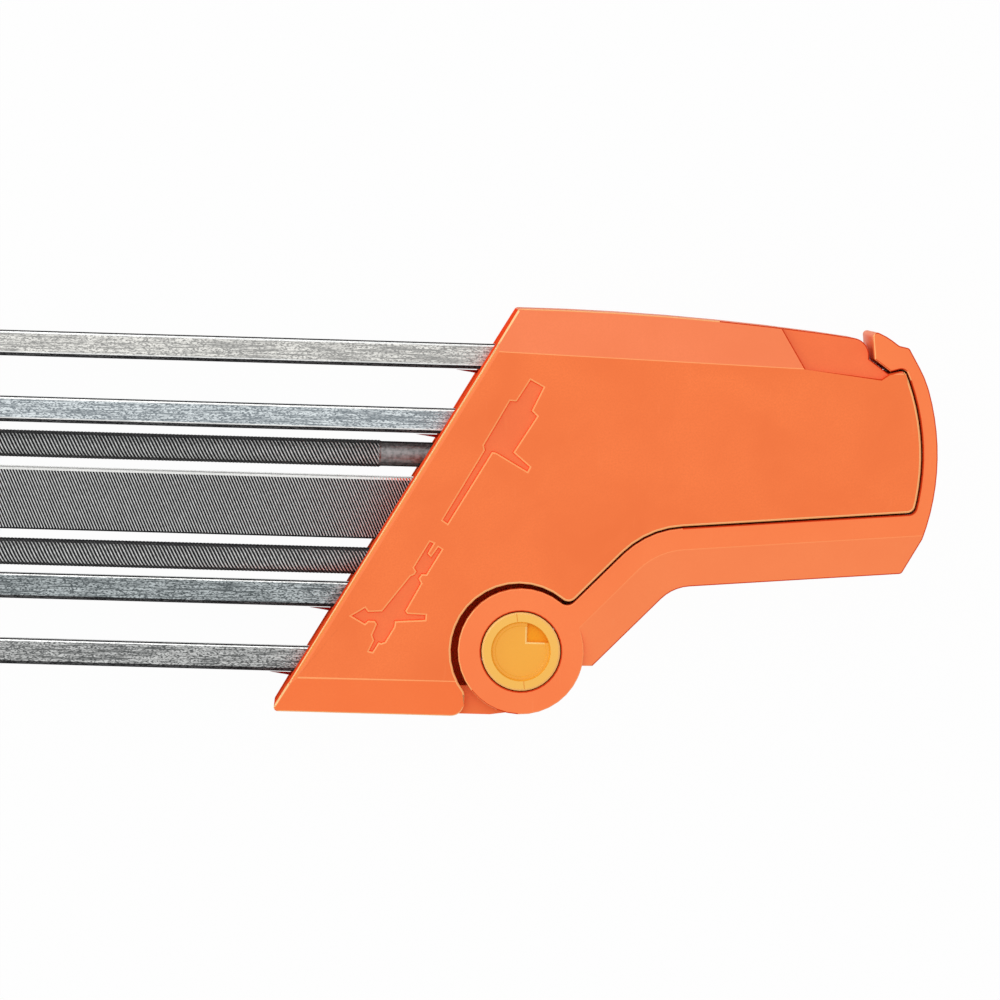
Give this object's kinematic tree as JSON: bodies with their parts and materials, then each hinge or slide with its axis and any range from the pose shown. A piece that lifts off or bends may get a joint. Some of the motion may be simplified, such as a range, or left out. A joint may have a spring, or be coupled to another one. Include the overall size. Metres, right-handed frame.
{
  "type": "chainsaw file guide",
  "caption": "Hand tool that guides round and flat files along a saw chain: slanted plastic heads joined by steel rails, with a hinged lever that clamps the files.",
  "frame": {"origin": "centre of the bounding box, at the back face that the guide lies on", "axes": "+X along the files towards the head with the clamp lever, +Y across the files towards that head's long edge, +Z out of the front face"},
  "size_m": [0.3562, 0.078, 0.023],
  "materials": {
    "orange_plastic": "fine-grained moulded plastic",
    "yellow_plastic": "smooth moulded plastic",
    "rail_steel": "drawn bright, with lines along it",
    "file_steel": "dark hardened file steel with fine teeth"
  },
  "bodies": {
    "frame": {"lever_head_front_shell": "orange_plastic", "lever_head_back_shell": "orange_plastic", "fixed_head_front_shell": "orange_plastic", "fixed_head_back_shell": "orange_plastic", "pivot_pin": "yellow_plastic", "pivot_cap": "yellow_plastic", "outer_rail_top": "rail_steel", "inner_rail_top": "rail_steel", "inner_rail_bottom": "rail_steel", "outer_rail_bottom": "rail_steel", "round_file_top": "file_steel", "round_file_bottom": "file_steel", "flat_file": "file_steel"},
    "lever": {"clamp_lever": "orange_plastic"}
  },
  "joints": [
    {"name": "lever_hinge", "type": "hinge", "parent": "frame", "child": "lever", "pos_m": [0.0998, -0.0262, 0.0115], "axis": [0, 0, -1], "range_deg": [0, 95]}
  ]
}
